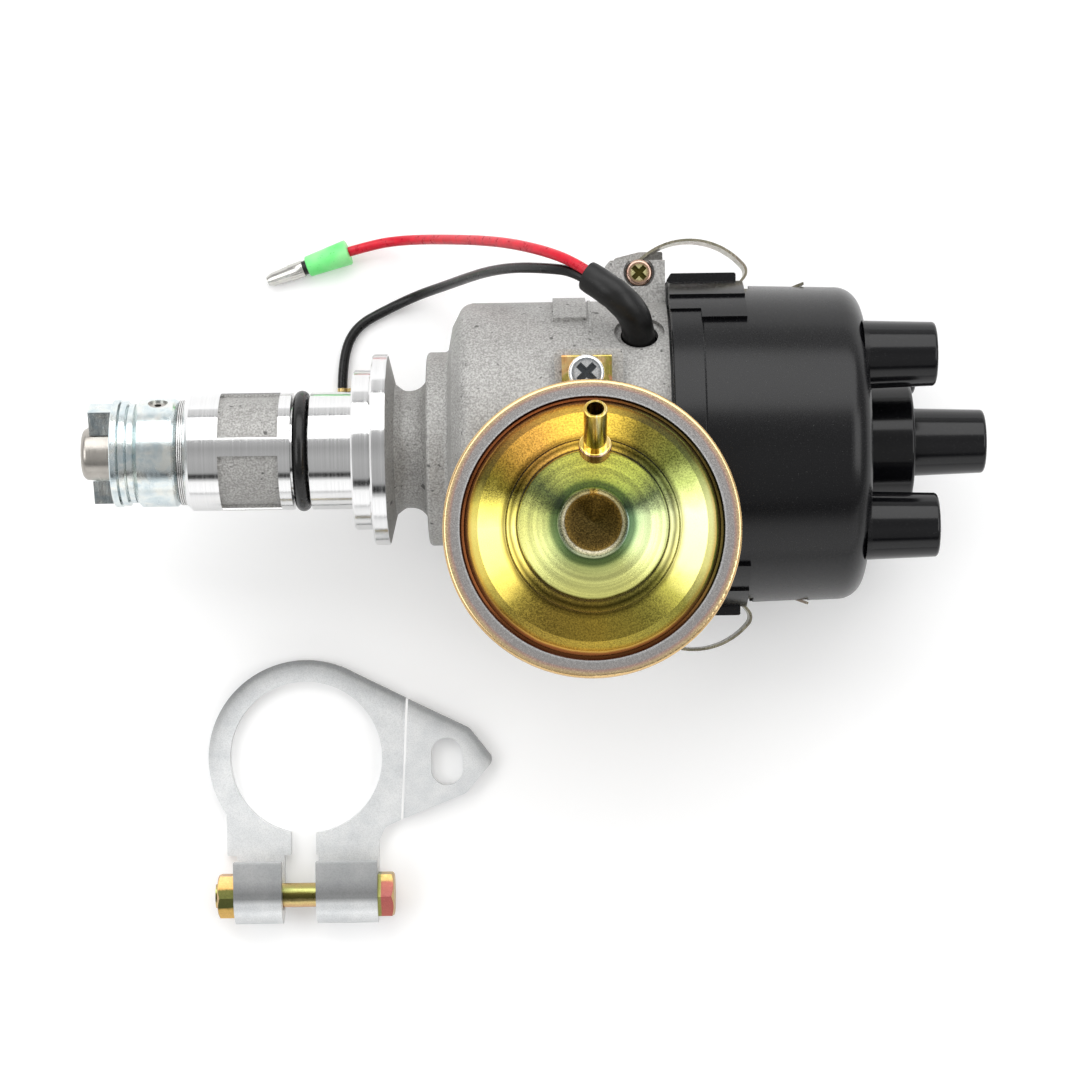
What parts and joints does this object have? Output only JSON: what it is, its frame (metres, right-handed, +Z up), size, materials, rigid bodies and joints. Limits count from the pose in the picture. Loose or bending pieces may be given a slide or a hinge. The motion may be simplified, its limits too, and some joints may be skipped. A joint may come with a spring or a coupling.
{
  "type": "ignition distributor",
  "caption": "Engine ignition distributor on its side, with a drive dog, towered cap, vacuum advance unit, wire leads and a loose pinch clamp.",
  "frame": {"origin": "on the shaft axis, at the face of the clamp ring that meets the shank", "axes": "+X along the shaft from the dog to the cap, +Z up from the side it lies on, toward the vacuum unit"},
  "size_m": [0.2067, 0.1647, 0.1008],
  "materials": {
    "cast_aluminium": "as-cast and matte on the bowl, bright turned on the shank and flanges",
    "bronze": "sintered bronze",
    "steel": "turned steel",
    "zinc_plate": "bright zinc plate",
    "yellow_zinc": "yellow iridescent zinc passivate",
    "spring_steel": "dull spring steel",
    "brass": "plain brass",
    "cap_plastic": "moulded black, satin with glossy towers",
    "inner_plastic": "moulded black",
    "carbon": "pressed carbon",
    "seal_rubber": "black rubber",
    "sleeve_rubber": "black sleeving",
    "red_insulation": "red wire insulation",
    "black_insulation": "black wire insulation",
    "green_sleeve": "translucent green"
  },
  "bodies": {
    "body": {"housing": "cast_aluminium", "lower_bush": "bronze", "upper_bush": "bronze", "shank_seal": "seal_rubber", "ledge_plate": "steel", "ledge_screws": "zinc_plate", "cap": "cap_plastic", "side_terminals": "brass", "centre_terminal": "brass", "carbon_brush": "carbon", "brush_spring": "spring_steel", "vacuum_front_cover": "yellow_zinc", "vacuum_back_cover": "yellow_zinc", "vacuum_diaphragm": "seal_rubber", "vacuum_nozzle": "yellow_zinc", "vacuum_bracket": "yellow_zinc", "bracket_screws": "zinc_plate", "top_pivot_screw": "yellow_zinc", "bottom_pivot_screw": "yellow_zinc", "wire_sleeve": "sleeve_rubber", "red_wire": "red_insulation", "black_wire": "black_insulation", "bullet_sleeve": "green_sleeve", "bullet_terminal": "zinc_plate", "flag_terminal": "brass", "clamp_plate": "zinc_plate", "clamp_bolt": "yellow_zinc", "clamp_nut": "yellow_zinc"},
    "shaft": {"drive_shaft": "steel", "drive_dog": "zinc_plate", "dog_pin": "steel", "thrust_washers": "steel", "action_plate": "steel", "weight_springs": "spring_steel", "spindle_screw": "steel"},
    "advance_cam": {"cam_spindle": "steel", "trigger_ring": "inner_plastic", "rotor_arm": "inner_plastic", "rotor_contact": "brass"},
    "weight_a": {"flyweight_a": "steel"},
    "weight_b": {"flyweight_b": "steel"},
    "pickup": {"pickup_plate": "steel", "pickup_module": "inner_plastic"},
    "vacuum_link": {"vacuum_rod": "steel", "vacuum_spring": "spring_steel"},
    "top_clip": {"top_clip": "spring_steel"},
    "bottom_clip": {"bottom_clip": "spring_steel"}
  },
  "joints": [
    {"name": "shaft_spin", "type": "hinge", "parent": "body", "child": "shaft", "pos_m": [0, 0, 0], "axis": [1, 0, 0], "continuous": true},
    {"name": "centrifugal_advance", "type": "hinge", "parent": "shaft", "child": "advance_cam", "pos_m": [0, 0, 0], "axis": [1, 0, 0], "range_deg": [0, 12], "stiffness_Nm_per_rad": 0.5, "springref_deg": -5.73},
    {"name": "weight_a_swing", "type": "hinge", "parent": "shaft", "child": "weight_a", "pos_m": [0, 0.018, 0], "axis": [1, 0, 0], "range_deg": [-12, 0]},
    {"name": "weight_b_swing", "type": "hinge", "parent": "shaft", "child": "weight_b", "pos_m": [0, -0.018, 0], "axis": [1, 0, 0], "range_deg": [-12, 0]},
    {"name": "vacuum_advance", "type": "hinge", "parent": "body", "child": "pickup", "pos_m": [0, 0, 0], "axis": [-1, 0, 0], "range_deg": [0, 8], "stiffness_Nm_per_rad": 1.5, "springref_deg": -2.86},
    {"name": "vacuum_pull", "type": "slide", "parent": "body", "child": "vacuum_link", "axis": [0, 0.0872, 0.9962], "range_m": [0, 0.0032]},
    {"name": "top_clip_swing", "type": "hinge", "parent": "body", "child": "top_clip", "pos_m": [0.0656, 0.0392, 0], "axis": [0, 0, 1], "range_deg": [0, 110]},
    {"name": "bottom_clip_swing", "type": "hinge", "parent": "body", "child": "bottom_clip", "pos_m": [0.0656, -0.0392, 0], "axis": [0, 0, -1], "range_deg": [0, 110]}
  ],
  "couplings": [
    {"joint": "weight_a_swing", "follows": "centrifugal_advance", "ratio": -1},
    {"joint": "weight_b_swing", "follows": "centrifugal_advance", "ratio": -1},
    {"joint": "vacuum_pull", "follows": "vacuum_advance", "m_per_rad": 0.022837}
  ]
}
